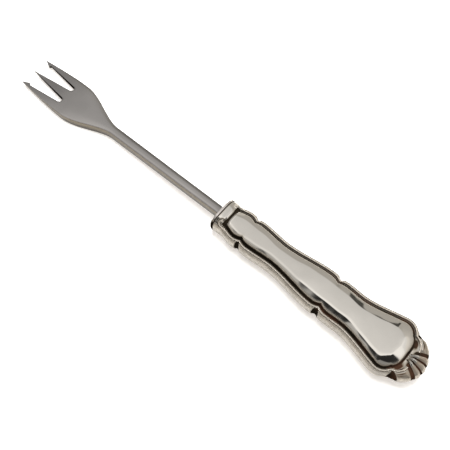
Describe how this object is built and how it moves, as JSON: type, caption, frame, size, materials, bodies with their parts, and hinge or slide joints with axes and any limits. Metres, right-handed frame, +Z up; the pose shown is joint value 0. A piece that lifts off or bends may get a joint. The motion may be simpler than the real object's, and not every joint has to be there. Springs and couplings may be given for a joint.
{
  "type": "serving fork",
  "caption": "slender serving fork with a flared barbed head on a long square shank, set in a hollow scalloped handle with a raised panel and a fluted shell end",
  "frame": {"origin": "Bottom centre of the bounding box: on the table, under the middle of the fork's length and width.", "axes": "+X runs along the fork from the handle to the tine tips, +Z is up, +Y completes the right-handed frame. The fork lies on its back, so that the tines' polished face and the handle's front look up."},
  "size_m": [0.203, 0.0238, 0.0108],
  "materials": {
    "silver": "polished silver, fine wear, dark tarnish in the grooves",
    "cap_silver": "polished silver plate with a rounded edge",
    "solder": "dull silver solder",
    "filler": "dark brown cutler's cement",
    "steel": "satin stainless steel"
  },
  "bodies": {
    "root": {"front_shell": "silver", "back_shell": "silver", "mouth_cap": "cap_silver", "seam_solder": "solder", "filler_core": "filler", "steel_fork": "steel"}
  },
  "joints": []
}
